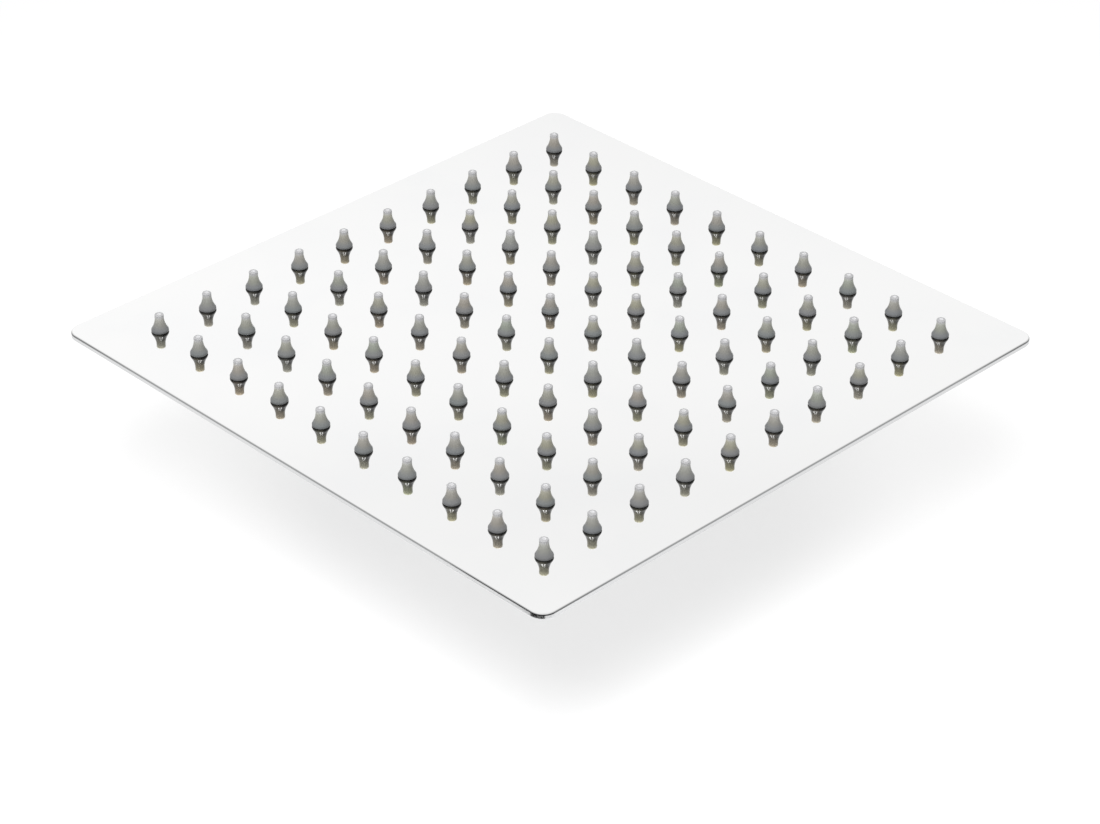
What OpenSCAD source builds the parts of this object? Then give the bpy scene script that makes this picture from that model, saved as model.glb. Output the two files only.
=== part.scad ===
// Thin square shower head on a ball joint, standing on its inlet with the spray face up.
// The origin is the centre of the inlet's mouth, and +Z points out of the spray face.

/* [Spray face] */
// Side of the square plate
plate_side = 200; // [150:5:300]
// Radius of the plate's corners in plan
corner_r = 4.5; // [3.5:0.5:12]
// Thickness of the polished front sheet
front_t = 0.6; // [0.5:0.05:1.2]
// Radius that the outer edges of both sheets are polished to
edge_round = 0.5; // [0.2:0.05:0.5]
// Distance from the plate's edge to the first row of nozzles
face_margin = 19.7; // [12:0.1:40]

/* [Nozzles] */
// Height of a nozzle above the face
nozzle_h = 5.6; // [4:0.1:8]
// Widest diameter of a nozzle, just above the face
bell_d = 5.2; // [4.6:0.1:7]
// Diameter of a nozzle at its tip
tip_d = 2.66; // [2:0.02:3.4]
// Length of the straight tip before the flare begins
tip_straight = 0.9; // [0.5:0.1:1.5]
// Radius of the turned-in foot of the bell
bell_foot_r = 0.35; // [0.1:0.05:0.5]
// Radius of the bell's shoulder
bell_shoulder_r = 1.2; // [0.6:0.1:1.6]
// Radius round the tip
tip_round = 0.2; // [0.1:0.05:0.4]
// Diameter of the hole in the front sheet
hole_d = 3.7; // [3:0.1:4.2]
// Clearance all round between a nozzle's neck and its hole
neck_fit = 0.05; // [0.02:0.01:0.1]
// Diameter of the flange that holds a nozzle behind the sheet
flange_d = 5.8; // [5:0.1:8]
// Thickness of that flange
flange_t = 0.45; // [0.3:0.05:0.6]
// Diameter of the outlet at the tip
outlet_d = 0.8; // [0.5:0.1:1.2]
// Length of the narrow outlet
outlet_l = 1.5; // [0.8:0.1:2.5]
// Diameter of the wide channel below the outlet
channel_d = 2.2; // [1.4:0.1:2.6]

/* [Back plate] */
// Thickness of the back sheet
back_t = 0.6; // [0.5:0.05:1.2]
// Height of the water space between the sheets
water_gap = 0.8; // [0.7:0.05:3]
// Width of the rim where the two sheets are welded
rim_w = 1.6; // [1:0.1:3]
// Height of the stamped dome
dome_h = 9; // [5:0.5:14]
// Width of the flat crown left round the collar's flange
crown_land = 1.5; // [0.5:0.5:8]
// Outer radius where the crown turns into the slope
crown_round = 8; // [5:0.5:12]
// Outer radius where the slope runs out into the flat back
foot_round = 22; // [12:1:30]

/* [Collar] */
// How far the collar's flange, seated on the crown, stands out past the cap
flange_lip = 1; // [0.5:0.5:3]
// Thickness of that flange
flange_seat_t = 2.6; // [2:0.1:4]
// How far the seal's seat reaches into the flange
seal_sink = 0.6; // [0.2:0.1:1.2]
// Diameter of the spigot through the crown
spigot_d = 17; // [15:0.5:20]
// Length of the spigot inside the back sheet
spigot_proud = 0.8; // [0.4:0.1:2]
// Diameter of the water way through the collar
collar_bore_d = 11; // [9:0.5:12]
// Wall of the collar between the ball's race and the outer thread
collar_wall = 1.35; // [1:0.05:2.5]
// Height of the collar's open end above the centre of the ball
collar_foot_h = 0.5; // [0.2:0.1:1]

/* [Ball joint] */
// Diameter of the ball
ball_d = 20; // [19:0.2:21]
// Diameter of the ball's flat end
ball_flat_d = 12; // [10:0.5:13]
// Diameter of the water way through ball and neck
stem_bore_d = 8; // [6:0.5:8.5]
// Wall of the neck below the ball
neck_wall = 1.5; // [1:0.1:2]
// Length of the neck between the inlet socket and the ball
neck_l = 6.6; // [6:0.1:12]
// Running clearance between the ball and what it turns in
ball_fit = 0.05; // [0.02:0.01:0.1]
// Thickness of the slip ring
ring_t = 1.55; // [1.2:0.05:1.8]
// Depth of the slip ring's upper edge below the centre of the ball
ring_top_drop = 1; // [0.5:0.1:2]
// Depth of the slip ring's lower edge below the centre of the ball
ring_low_drop = 5.5; // [4:0.1:6]
// Wall of the ball seal at its lip
seal_wall = 1.25; // [1:0.05:1.3]
// Height of the seal's lip above the centre of the ball
seal_lip_h = 2.5; // [2:0.1:4]
// Thickness of the seal over the ball's flat end
seal_top_t = 0.5; // [0.3:0.05:1]
// Clearance round the seal in the collar
seal_fit = 0.1; // [0.05:0.01:0.2]
// Largest tilt of the head about each of its two tilting axes, in degrees
tilt_max = 12; // [5:1:14]
// Space left between the neck and the mouth of the cap at the largest tilt
mouth_clear = 0.4; // [0.2:0.1:0.6]

/* [Retaining cap] */
// Wall of the cap outside its thread
cap_wall = 2.45; // [2:0.05:4]
// Depth of the cap's mouth below the centre of the ball
cap_drop = 9.5; // [9:0.1:10.5]
// Wall of the cap's domed end outside the ball's race
cap_end_wall = 4.25; // [3.5:0.05:5.5]
// Radial clearance in the cap's thread
thread_fit = 0.05; // [0.02:0.01:0.1]
// Length of the cap's thread past the collar's open end
cap_runout = 0.4; // [0.2:0.1:0.5]
// Gap between the tightened cap and the collar's flange
cap_gap = 0.6; // [0.3:0.1:1]
// Number of grip flutes round the cap
flute_n = 24; // [12:2:36]
// Diameter of the cutter that makes a flute
flute_d = 3; // [2:0.2:3.6]
// Depth of a flute
flute_depth = 0.5; // [0.2:0.1:0.8]
// Width of the plain band left at the cap's upper edge
cap_band = 2; // [1:0.5:4]

/* [Inlet] */
// Width of the inlet's hexagon across its flats
hex_af = 26; // [25:0.5:30]
// Thickness of the hexagon's end above the flow regulator
hex_end_t = 1.1; // [0.8:0.1:5]
// Angle of the chamfers on the hexagon's corners, in degrees
hex_chamfer_a = 30; // [20:5:45]
// Radius where the neck leaves the hexagon
neck_round = 1.5; // [0.5:0.1:2]
// Major diameter of the half inch pipe thread
inlet_thread_d = 20.955; // [20.755:0.1:21.155]
// Length of the threaded wall
inlet_thread_l = 8; // [7:0.5:9]
// Length of the chamfer at the mouth
mouth_chamfer = 0.8; // [0.4:0.1:1.2]
// Depth of the run-out groove behind the thread
groove_depth = 0.4; // [0.2:0.1:0.8]
// Length left free in that groove beside the washer and the screen
groove_spare = 0.2; // [0.1:0.05:0.6]
// Clearance round the inlet washer in its groove
washer_fit = 0.9; // [0.5:0.1:1.2]
// Inside diameter of the inlet washer
washer_hole_d = 12.5; // [11:0.5:14]
// Thickness of the washer
washer_t = 2; // [1.5:0.1:2.2]
// Thickness of the filter screen
screen_t = 0.3; // [0.2:0.05:0.4]
// Depth of the screen's dish
screen_dish = 1.2; // [0.8:0.1:1.6]
// Diameter of a hole in the screen
screen_hole_d = 0.9; // [0.6:0.1:1]
// Distance between neighbouring holes in the screen
screen_pitch = 1.5; // [1.4:0.1:2]
// Diameter of the flow regulator
regulator_d = 12.4; // [11:0.2:13]
// Thickness of the flow regulator
regulator_t = 2.6; // [2:0.1:3]
// Clearance round the flow regulator
regulator_fit = 0.1; // [0.05:0.01:0.2]
// Number of water holes through the flow regulator, where the ring has room for them
regulator_holes = 8; // [6:1:10]
// Diameter of each of those holes
regulator_hole_d = 1.6; // [1:0.1:1.8]
// Land between those holes and the wall of the water way above them
regulator_land = 0.3; // [0.1:0.1:0.6]
// Least plastic between two holes of the regulator
regulator_web = 0.3; // [0.2:0.1:0.6]

/* [Hidden] */
$fn = 96;

// The nozzles stand in a square grid, one node to each row along X
grid_n = 10;
nozzle_pitch = (plate_side - 2 * face_margin) / (grid_n - 1);
grid_start = -(grid_n - 1) * nozzle_pitch / 2;

// Overshoot of a cutter past the face that it opens
cut = 1;

// Inlet, from the mouth upwards
thread_end = mouth_chamfer + inlet_thread_l;
groove_l = washer_t + screen_t + groove_spare;
socket_floor = thread_end + groove_l;
hex_h = socket_floor + regulator_t + hex_end_t;
groove_d = inlet_thread_d + 2 * groove_depth;
washer_d = groove_d - 2 * washer_fit;

// Ball joint
ball_r = ball_d / 2;
neck_r = stem_bore_d / 2 + neck_wall;
ball_z = hex_h + neck_l + sqrt(pow(ball_r, 2) - pow(neck_r, 2));
ball_top_h = sqrt(pow(ball_r, 2) - pow(ball_flat_d / 2, 2));
ring_in_r = ball_r + ball_fit;
ring_out_r = ring_in_r + ring_t;
race_r = ring_out_r + ball_fit;
seal_top = ball_z + ball_top_h + seal_top_t;
seal_d = 2 * (sqrt(pow(ring_in_r, 2) - pow(seal_lip_h, 2)) + seal_wall);
// Tilting about both axes at once leans the neck further than either does alone
lean = acos(pow(cos(tilt_max), 2));

// Collar and cap
collar_thread_d = 2 * (race_r + collar_wall);
collar_foot = ball_z + collar_foot_h;
flange_foot = seal_top - seal_sink;
cap_d = collar_thread_d + 2 * (thread_fit + cap_wall);
cap_dome_r = race_r + cap_end_wall;
cap_mouth = ball_z - cap_drop;
cap_floor = collar_foot - cap_runout;
cap_top = flange_foot - cap_gap;
flange_seat_d = cap_d + 2 * flange_lip;
crown_z = flange_foot + flange_seat_t;
crown_d = flange_seat_d + 2 * crown_land;

// Sheets, from the flat back upwards
back_z = crown_z + dome_h;
tray_h = back_t + water_gap;
front_z = back_z + tray_h;
face_z = front_z + front_t;

// The dome's side is two arcs that touch each other and both flats
dome_arcs = crown_round + foot_round;
dome_foot_r = crown_d / 2 + sqrt(dome_h * (2 * dome_arcs - dome_h));

// The nozzle's side is two arcs that touch each other, the straight tip and the bell
bell_r = bell_d / 2;
tip_r = tip_d / 2;
flare_end = nozzle_h - tip_straight;
flare_h = flare_end - bell_foot_r;
flare_arcs = (pow(bell_r - tip_r, 2) + pow(flare_h, 2)) / (2 * (bell_r - tip_r));
flare_r = flare_arcs - bell_shoulder_r;

module at_each_nozzle(row) {
    for (column = [0 : grid_n - 1]) {
        translate([grid_start + column * nozzle_pitch, grid_start + row * nozzle_pitch, 0])
            children();
    }
}

module rounded_square(side, radius) {
    inner = side / 2 - radius;
    square([side, side - 2 * radius], center = true);
    square([side - 2 * radius, side], center = true);
    for (x = [-inner, inner], y = [-inner, inner]) {
        translate([x, y])
            circle(radius);
    }
}

// Section of a rim, from its inner wall at x = 0 out to its edge, rounded at the top or the bottom
module rim_section(width, height, radius, up) {
    difference() {
        square([width, height]);
        translate([width - radius, up ? height - radius : -cut])
            square([radius + cut, radius + cut]);
    }
    intersection() {
        translate([width - radius, up ? height - radius : radius])
            circle(radius, $fn = 48);
        translate([width - radius, up ? height - radius : 0])
            square([radius, radius]);
    }
}

// Square ring with a shaped section: a straight bar along each side and a quarter turn at each corner
module square_ring(side, radius, height, edge, up) {
    straight = side - 2 * radius;
    for (turn = [0 : 90 : 270]) {
        rotate([0, 0, turn]) {
            translate([straight / 2, straight / 2, 0])
                rotate([90, 0, 0])
                    linear_extrude(straight)
                        rim_section(radius, height, edge, up);
            translate([straight / 2, straight / 2, 0])
                rotate_extrude(angle = 90)
                    rim_section(radius, height, edge, up);
        }
    }
}

// Square slab with rounded corners and one rounded edge all round
module edged_slab(height, edge, up) {
    middle = plate_side - 2 * corner_r;
    translate([-middle / 2, -middle / 2, 0])
        cube([middle, middle, height]);
    square_ring(plate_side, corner_r, height, edge, up);
}

module spray_plate() {
    color("gainsboro")
        translate([0, 0, front_z])
            difference() {
                edged_slab(front_t, min(edge_round, 0.9 * front_t), true);
                for (row = [0 : grid_n - 1]) {
                    at_each_nozzle(row)
                        translate([0, 0, -cut])
                            cylinder(h = front_t + 2 * cut, d = hole_d);
                }
            }
}

// Everything above the dome's outer surface, moved up by the sheet's thickness for the inner one
module dome_side(inset) {
    crown_r = crown_d / 2;
    top = dome_h + tray_h + crown_round;
    crown_centre = [crown_r, crown_round];
    foot_centre = [dome_foot_r, dome_h - foot_round];
    difference() {
        translate([0, inset])
            square([dome_foot_r, top - inset]);
        translate(foot_centre)
            circle(foot_round + inset, $fn = 192);
        difference() {
            polygon([crown_centre, [crown_r, foot_centre[1]], foot_centre]);
            translate(crown_centre)
                circle(crown_round - inset);
        }
    }
}

module back_plate() {
    color("silver")
        difference() {
            union() {
                translate([0, 0, back_z])
                    difference() {
                        edged_slab(tray_h, min(edge_round, 0.9 * back_t), false);
                        translate([0, 0, back_t])
                            linear_extrude(tray_h)
                                rounded_square(plate_side - 2 * rim_w, corner_r - rim_w);
                        translate([0, 0, -cut])
                            cylinder(h = tray_h + 2 * cut, r = dome_foot_r);
                    }
                translate([0, 0, crown_z])
                    rotate_extrude() {
                        intersection() {
                            difference() {
                                dome_side(0);
                                dome_side(back_t);
                            }
                            square([dome_foot_r, dome_h + back_t]);
                        }
                        // The dome's foot runs on into the flat sheet
                        translate([dome_foot_r, dome_h])
                            square([cut, back_t]);
                    }
            }
            translate([0, 0, crown_z - cut])
                cylinder(h = back_t + 2 * cut, d = spigot_d + 2 * neck_fit);
        }
}

// One nozzle's half section, with the front sheet's outer face at y = 0
module nozzle_section() {
    shoulder = [bell_r - bell_shoulder_r, bell_foot_r];
    waist = [tip_r + flare_r, flare_end];
    touch = shoulder + bell_shoulder_r * (waist - shoulder) / flare_arcs;
    neck_r = hole_d / 2 - neck_fit;
    translate([0, -front_t - flange_t])
        square([flange_d / 2, flange_t]);
    translate([0, -front_t - flange_t])
        square([neck_r, front_t + flange_t + bell_foot_r]);
    square([bell_r - bell_foot_r, bell_foot_r]);
    intersection() {
        translate([bell_r - bell_foot_r, bell_foot_r])
            circle(bell_foot_r);
        translate([bell_r - bell_foot_r, 0])
            square(bell_foot_r);
    }
    square([shoulder[0], touch[1]]);
    intersection() {
        translate(shoulder)
            circle(bell_shoulder_r);
        translate(shoulder)
            square([bell_shoulder_r, touch[1] - bell_foot_r]);
    }
    difference() {
        translate([0, touch[1]])
            square([touch[0], flare_end - touch[1]]);
        translate(waist)
            circle(flare_r, $fn = 192);
    }
    square([tip_r, nozzle_h - tip_round]);
    square([tip_r - tip_round, nozzle_h]);
    intersection() {
        translate([tip_r - tip_round, nozzle_h - tip_round])
            circle(tip_round);
        translate([tip_r - tip_round, nozzle_h - tip_round])
            square(tip_round);
    }
}

module nozzle_channel() {
    foot = -front_t - flange_t - cut;
    throat = nozzle_h - outlet_l;
    polygon([[0, foot], [channel_d / 2, foot], [channel_d / 2, bell_foot_r], [outlet_d / 2, throat],
             [outlet_d / 2, nozzle_h + cut], [0, nozzle_h + cut]]);
}

module nozzle_row(row) {
    color("darkgray")
        translate([0, 0, face_z])
            at_each_nozzle(row)
                rotate_extrude($fn = 64)
                    difference() {
                        nozzle_section();
                        nozzle_channel();
                    }
}

module head_collar() {
    color("silver")
        difference() {
            union() {
                translate([0, 0, collar_foot])
                    cylinder(h = flange_foot - collar_foot, d = collar_thread_d);
                translate([0, 0, flange_foot])
                    cylinder(h = flange_seat_t, d = flange_seat_d);
                translate([0, 0, crown_z])
                    cylinder(h = back_t + spigot_proud, d = spigot_d);
            }
            translate([0, 0, ball_z])
                sphere(race_r);
            translate([0, 0, ball_z])
                cylinder(h = seal_top - ball_z, d = seal_d + 2 * seal_fit);
            translate([0, 0, ball_z])
                cylinder(h = crown_z + back_t + spigot_proud + cut - ball_z, d = collar_bore_d);
        }
}

// Cup over the ball's shoulder, with a water way as wide as the ball's flat end
module ball_seal() {
    color("dimgray")
        translate([0, 0, ball_z])
            rotate_extrude()
                difference() {
                    translate([ball_flat_d / 2, seal_lip_h])
                        square([(seal_d - ball_flat_d) / 2, seal_top - ball_z - seal_lip_h]);
                    circle(ring_in_r, $fn = 192);
                }
}

module slip_ring() {
    color("ivory")
        translate([0, 0, ball_z])
            rotate_extrude()
                intersection() {
                    difference() {
                        circle(ring_out_r, $fn = 192);
                        circle(ring_in_r, $fn = 192);
                    }
                    translate([0, -ring_low_drop])
                        square([ring_out_r + cut, ring_low_drop - ring_top_drop]);
                }
}

module retaining_cap() {
    flute_h = cap_top - cap_band - ball_z;
    color("lightgray")
        difference() {
            intersection() {
                translate([0, 0, cap_mouth])
                    cylinder(h = cap_top - cap_mouth, d = cap_d);
                union() {
                    translate([0, 0, ball_z])
                        sphere(cap_dome_r);
                    translate([0, 0, ball_z])
                        cylinder(h = cap_top - ball_z, d = cap_d + cut);
                }
            }
            translate([0, 0, ball_z])
                sphere(race_r);
            translate([0, 0, cap_floor])
                cylinder(h = cap_top - cap_floor + cut, d = collar_thread_d + 2 * thread_fit);
            // The mouth is as wide as the leaning neck needs
            translate([0, 0, cap_mouth - cut])
                cylinder(h = cap_drop + cut,
                         r1 = neck_r / cos(lean) + mouth_clear + (cap_drop + cut) * tan(lean),
                         r2 = neck_r / cos(lean) + mouth_clear);
            for (flute = [0 : flute_n - 1]) {
                rotate([0, 0, flute * 360 / flute_n])
                    translate([(cap_d + flute_d) / 2 - flute_depth, 0, ball_z])
                        cylinder(h = flute_h, d = flute_d, $fn = 32);
            }
        }
}

module hexagon_prism() {
    corner_d = hex_af / cos(30);
    fall = (corner_d - hex_af) / 2 * tan(hex_chamfer_a);
    intersection() {
        cylinder(h = hex_h, d = corner_d, $fn = 6);
        union() {
            cylinder(h = fall, d1 = hex_af, d2 = corner_d);
            translate([0, 0, fall])
                cylinder(h = hex_h - 2 * fall, d = corner_d + cut);
            translate([0, 0, hex_h - fall])
                cylinder(h = fall, d1 = corner_d, d2 = hex_af);
        }
    }
}

module ball_stem() {
    color("lightgray")
        difference() {
            union() {
                hexagon_prism();
                translate([0, 0, hex_h])
                    cylinder(h = ball_z - hex_h, r = neck_r);
                // Concave fillet between the hexagon's top and the neck
                translate([0, 0, hex_h])
                    rotate_extrude()
                        difference() {
                            square([neck_r + neck_round, neck_round]);
                            translate([neck_r + neck_round, neck_round])
                                circle(neck_round, $fn = 48);
                        }
                intersection() {
                    translate([0, 0, ball_z])
                        sphere(ball_r);
                    translate([0, 0, hex_h])
                        cylinder(h = ball_z + ball_top_h - hex_h, r = ball_d);
                }
            }
            translate([0, 0, -cut])
                cylinder(h = hex_h + ball_z + ball_d, d = stem_bore_d);
            translate([0, 0, socket_floor - cut])
                cylinder(h = regulator_t + cut, d = regulator_d + 2 * regulator_fit);
            translate([0, 0, -cut])
                cylinder(h = thread_end + 2 * cut, d = inlet_thread_d);
            translate([0, 0, thread_end])
                cylinder(h = groove_l, d = groove_d);
            cylinder(h = mouth_chamfer, d1 = inlet_thread_d + 2 * mouth_chamfer, d2 = inlet_thread_d);
        }
}

module flow_regulator() {
    hole_ring_r = (stem_bore_d - regulator_hole_d) / 2 - regulator_land;
    hole_turn = 2 * asin((regulator_hole_d + regulator_web) / (2 * hole_ring_r));
    holes = min(regulator_holes, floor(360 / hole_turn));
    color("palegreen")
        translate([0, 0, socket_floor])
            difference() {
                cylinder(h = regulator_t, d = regulator_d);
                for (hole = [0 : holes - 1]) {
                    rotate([0, 0, hole * 360 / holes])
                        translate([hole_ring_r, 0, -cut])
                            cylinder(h = regulator_t + 2 * cut, d = regulator_hole_d, $fn = 32);
                }
            }
}

// Flat rim with a shallow dish, punched all over in a triangular pattern
module filter_screen() {
    dish_d = washer_hole_d - 2 * screen_t;
    dish_r = (pow(dish_d / 2, 2) + pow(screen_dish, 2)) / (2 * screen_dish);
    reach = dish_d / 2 - screen_hole_d;
    steps = floor(reach / screen_pitch);
    color("silver")
        translate([0, 0, socket_floor - screen_t])
            difference() {
                union() {
                    difference() {
                        cylinder(h = screen_t, d = washer_d);
                        translate([0, 0, -cut])
                            cylinder(h = screen_t + 2 * cut, d = dish_d);
                    }
                    rotate_extrude()
                        intersection() {
                            difference() {
                                translate([0, dish_r - screen_dish])
                                    circle(dish_r, $fn = 192);
                                translate([0, dish_r - screen_dish])
                                    circle(dish_r - screen_t, $fn = 192);
                            }
                            translate([0, -screen_dish])
                                square([dish_d / 2, screen_dish + screen_t]);
                        }
                }
                for (i = [-steps : steps], j = [-steps : steps]) {
                    x = (i + j / 2) * screen_pitch;
                    y = j * screen_pitch * sin(60);
                    if (norm([x, y]) <= reach)
                        translate([x, y, -screen_dish - cut])
                            cylinder(h = screen_dish + screen_t + 2 * cut, d = screen_hole_d, $fn = 24);
                }
            }
}

module inlet_washer() {
    color("dimgray")
        translate([0, 0, socket_floor - screen_t - washer_t])
            difference() {
                cylinder(h = washer_t, d = washer_d);
                translate([0, 0, -cut])
                    cylinder(h = washer_t + 2 * cut, d = washer_hole_d);
            }
}

spray_plate();
back_plate();
for (row = [0 : grid_n - 1]) {
    nozzle_row(row);
}
head_collar();
ball_seal();
slip_ring();
retaining_cap();
ball_stem();
flow_regulator();
filter_screen();
inlet_washer();
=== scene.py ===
"""Looks of a thin square shower head that stands on its inlet with the spray face up.

Lengths are in metres, and the frame is the part's own: the origin is the centre of the inlet's mouth
and +Z points out of the spray face.
"""

import logging
import math
import random
from dataclasses import dataclass, field
from enum import Enum
from functools import lru_cache
from typing import Optional, Sequence, Union

import bpy
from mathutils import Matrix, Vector


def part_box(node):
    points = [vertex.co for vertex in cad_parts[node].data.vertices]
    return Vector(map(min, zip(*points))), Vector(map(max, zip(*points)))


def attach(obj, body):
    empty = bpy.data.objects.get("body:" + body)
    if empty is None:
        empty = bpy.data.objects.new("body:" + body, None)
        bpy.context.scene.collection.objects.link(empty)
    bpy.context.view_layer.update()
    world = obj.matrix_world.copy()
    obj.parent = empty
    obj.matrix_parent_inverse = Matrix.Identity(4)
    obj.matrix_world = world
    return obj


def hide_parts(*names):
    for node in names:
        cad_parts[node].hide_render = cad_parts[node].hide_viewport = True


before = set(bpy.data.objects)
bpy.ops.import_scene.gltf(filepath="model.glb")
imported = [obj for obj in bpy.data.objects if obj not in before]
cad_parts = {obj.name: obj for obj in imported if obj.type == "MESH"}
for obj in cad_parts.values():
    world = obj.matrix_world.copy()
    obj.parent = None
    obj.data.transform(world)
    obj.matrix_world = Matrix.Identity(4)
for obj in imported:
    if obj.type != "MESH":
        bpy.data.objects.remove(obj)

log = logging.getLogger("shower_head")

MM = 0.001

Colour = tuple[float, float, float]
Point = tuple[float, float, float]
Pair = tuple[float, float]
Socket = bpy.types.NodeSocket
Value = Union[float, Sequence[float], Socket]


class Graph:
    """A node tree with short ways to add nodes and join them."""

    def __init__(self, tree: bpy.types.NodeTree) -> None:
        """Takes the tree to draw in and empties it.

        Args:
            tree: The node tree of a material, a world or a group.
        """
        self.tree = tree
        tree.nodes.clear()

    def node(self, kind: str, **settings: object) -> bpy.types.Node:
        """Adds one node.

        Args:
            kind: Blender's name for the node's type.
            settings: Properties of the node, such as its operation.

        Returns:
            The new node.
        """
        made = self.tree.nodes.new(kind)
        for name, value in settings.items():
            setattr(made, name, value)
        return made

    def feed(self, socket: Socket, value: Value) -> None:
        """Links a socket to the input, or sets the input to a plain value.

        Args:
            socket: The input that takes the value.
            value: Another node's output, or a number or colour.
        """
        if isinstance(value, bpy.types.NodeSocket):
            self.tree.links.new(value, socket)
        else:
            socket.default_value = value

    def math(self, operation: str, first: Value, second: Value = 0.0, third: Value = 0.0) -> Socket:
        """Adds a Math node.

        Args:
            operation: Name of the operation, such as MULTIPLY.
            first: First operand.
            second: Second operand.
            third: Third operand, where the operation has one.

        Returns:
            The result.
        """
        made = self.node("ShaderNodeMath", operation=operation)
        for socket, value in zip(made.inputs, (first, second, third)):
            self.feed(socket, value)
        return made.outputs[0]

    def vector(self, operation: str, first: Value, second: Value = (0.0, 0.0, 0.0)) -> bpy.types.Node:
        """Adds a Vector Math node.

        Args:
            operation: Name of the operation, such as DOT_PRODUCT.
            first: First operand.
            second: Second operand.

        Returns:
            The node, whose outputs are Vector and Value.
        """
        made = self.node("ShaderNodeVectorMath", operation=operation)
        self.feed(made.inputs[0], first)
        self.feed(made.inputs[1], second)
        return made

    def span(self, value: Value, low: float, high: float, start: float = 0.0, end: float = 1.0) -> Socket:
        """Turns a range of values smoothly into another.

        Args:
            value: The value to map.
            low: Value that gives start.
            high: Value that gives end.
            start: Result at low and below.
            end: Result at high and above.

        Returns:
            The mapped value.
        """
        made = self.node("ShaderNodeMapRange", interpolation_type="SMOOTHSTEP")
        for name, number in (("From Min", low), ("From Max", high), ("To Min", start), ("To Max", end)):
            made.inputs[name].default_value = number
        self.feed(made.inputs["Value"], value)
        return made.outputs["Result"]

    def blend(self, factor: Value, first: Value, second: Value, mode: str = "MIX") -> Socket:
        """Mixes two colours.

        Args:
            factor: Share of the second colour.
            first: First colour.
            second: Second colour.
            mode: How they mix, such as MIX or MULTIPLY.

        Returns:
            The mixed colour.
        """
        made = self.node("ShaderNodeMix", data_type="RGBA", blend_type=mode)
        self.feed(made.inputs["Factor"], factor)
        self.feed(made.inputs[6], with_alpha(first))
        self.feed(made.inputs[7], with_alpha(second))
        return made.outputs[2]

    def ramp(self, factor: Value, stops: Sequence[tuple[float, Colour]]) -> Socket:
        """Adds a colour ramp.

        Args:
            factor: Place on the ramp, from 0 to 1.
            stops: Places and their colours, from low to high.

        Returns:
            The colour at that place.
        """
        made = self.node("ShaderNodeValToRGB")
        elements = made.color_ramp.elements
        while len(elements) < len(stops):
            elements.new(0.5)
        for element, (place, colour) in zip(elements, stops):
            element.position = place
            element.color = with_alpha(colour)
        self.feed(made.inputs["Fac"], factor)
        return made.outputs["Color"]

    def shades(self, factor: Value, stops: Sequence[Pair]) -> Socket:
        """Adds a ramp of greys.

        Args:
            factor: Place on the ramp, from 0 to 1.
            stops: Places and their shades, from low to high.

        Returns:
            The grey at that place.
        """
        return self.ramp(factor, [(place, grey(shade)) for place, shade in stops])

    def bump(self, height: Value, depth: float, normal: Optional[Socket] = None) -> Socket:
        """Adds a Bump node.

        Args:
            height: Height from 0 to 1.
            depth: Depth of the relief in metres.
            normal: Normal of another bump below this one.

        Returns:
            The bumped normal.
        """
        made = self.node("ShaderNodeBump")
        made.inputs["Distance"].default_value = depth
        self.feed(made.inputs["Height"], height)
        if normal is not None:
            self.feed(made.inputs["Normal"], normal)
        return made.outputs["Normal"]

    def place(self) -> Socket:
        """Gives the part's own coordinates."""
        return self.node("ShaderNodeTexCoord").outputs["Object"]

    def parts(self, vector: Value) -> bpy.types.Node:
        """Splits a vector into a node's X, Y and Z outputs."""
        made = self.node("ShaderNodeSeparateXYZ")
        self.feed(made.inputs[0], vector)
        return made

    def flat(self, place: Value) -> Socket:
        """Gives coordinates without their height."""
        return self.vector("MULTIPLY", place, (1.0, 1.0, 0.0)).outputs["Vector"]

    def radius(self, place: Value) -> Socket:
        """Gives the distance from the Z axis."""
        return self.vector("LENGTH", self.flat(place)).outputs["Value"]

    def choose(self, factor: Value, first: Value, second: Value) -> Socket:
        """Mixes two numbers.

        Args:
            factor: Share of the second number.
            first: First number.
            second: Second number.

        Returns:
            The mixed number.
        """
        made = self.node("ShaderNodeMix", data_type="FLOAT")
        self.feed(made.inputs["Factor"], factor)
        self.feed(made.inputs[2], first)
        self.feed(made.inputs[3], second)
        return made.outputs[0]

    def mix_shaders(self, factor: Value, first: Socket, second: Socket) -> Socket:
        """Mixes two shaders.

        Args:
            factor: Share of the second shader.
            first: First shader.
            second: Second shader.

        Returns:
            The mixed shader.
        """
        made = self.node("ShaderNodeMixShader")
        for socket, value in zip(made.inputs, (factor, first, second)):
            self.feed(socket, value)
        return made.outputs[0]

    def matt(self, shade: float) -> Socket:
        """Gives a matt grey shader."""
        made = self.node("ShaderNodeBsdfDiffuse")
        made.inputs["Color"].default_value = (*grey(shade), 1.0)
        return made.outputs[0]

    def effect(self, group: bpy.types.NodeTree, **values: Value) -> bpy.types.Node:
        """Places a shared effect.

        Args:
            group: The effect's node group.
            values: Its inputs by name, with underscores for spaces.

        Returns:
            The group node.
        """
        made = self.node("ShaderNodeGroup", node_tree=group)
        for name, value in values.items():
            self.feed(made.inputs[name.replace("_", " ")], value)
        return made


def with_alpha(value: Value) -> Value:
    """Gives a plain colour its fourth number, and leaves sockets and numbers alone."""
    return (*value, 1.0) if isinstance(value, tuple) and len(value) == 3 else value


def grey(shade: float) -> Colour:
    """Gives the grey of one shade."""
    return (shade, shade, shade)


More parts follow.
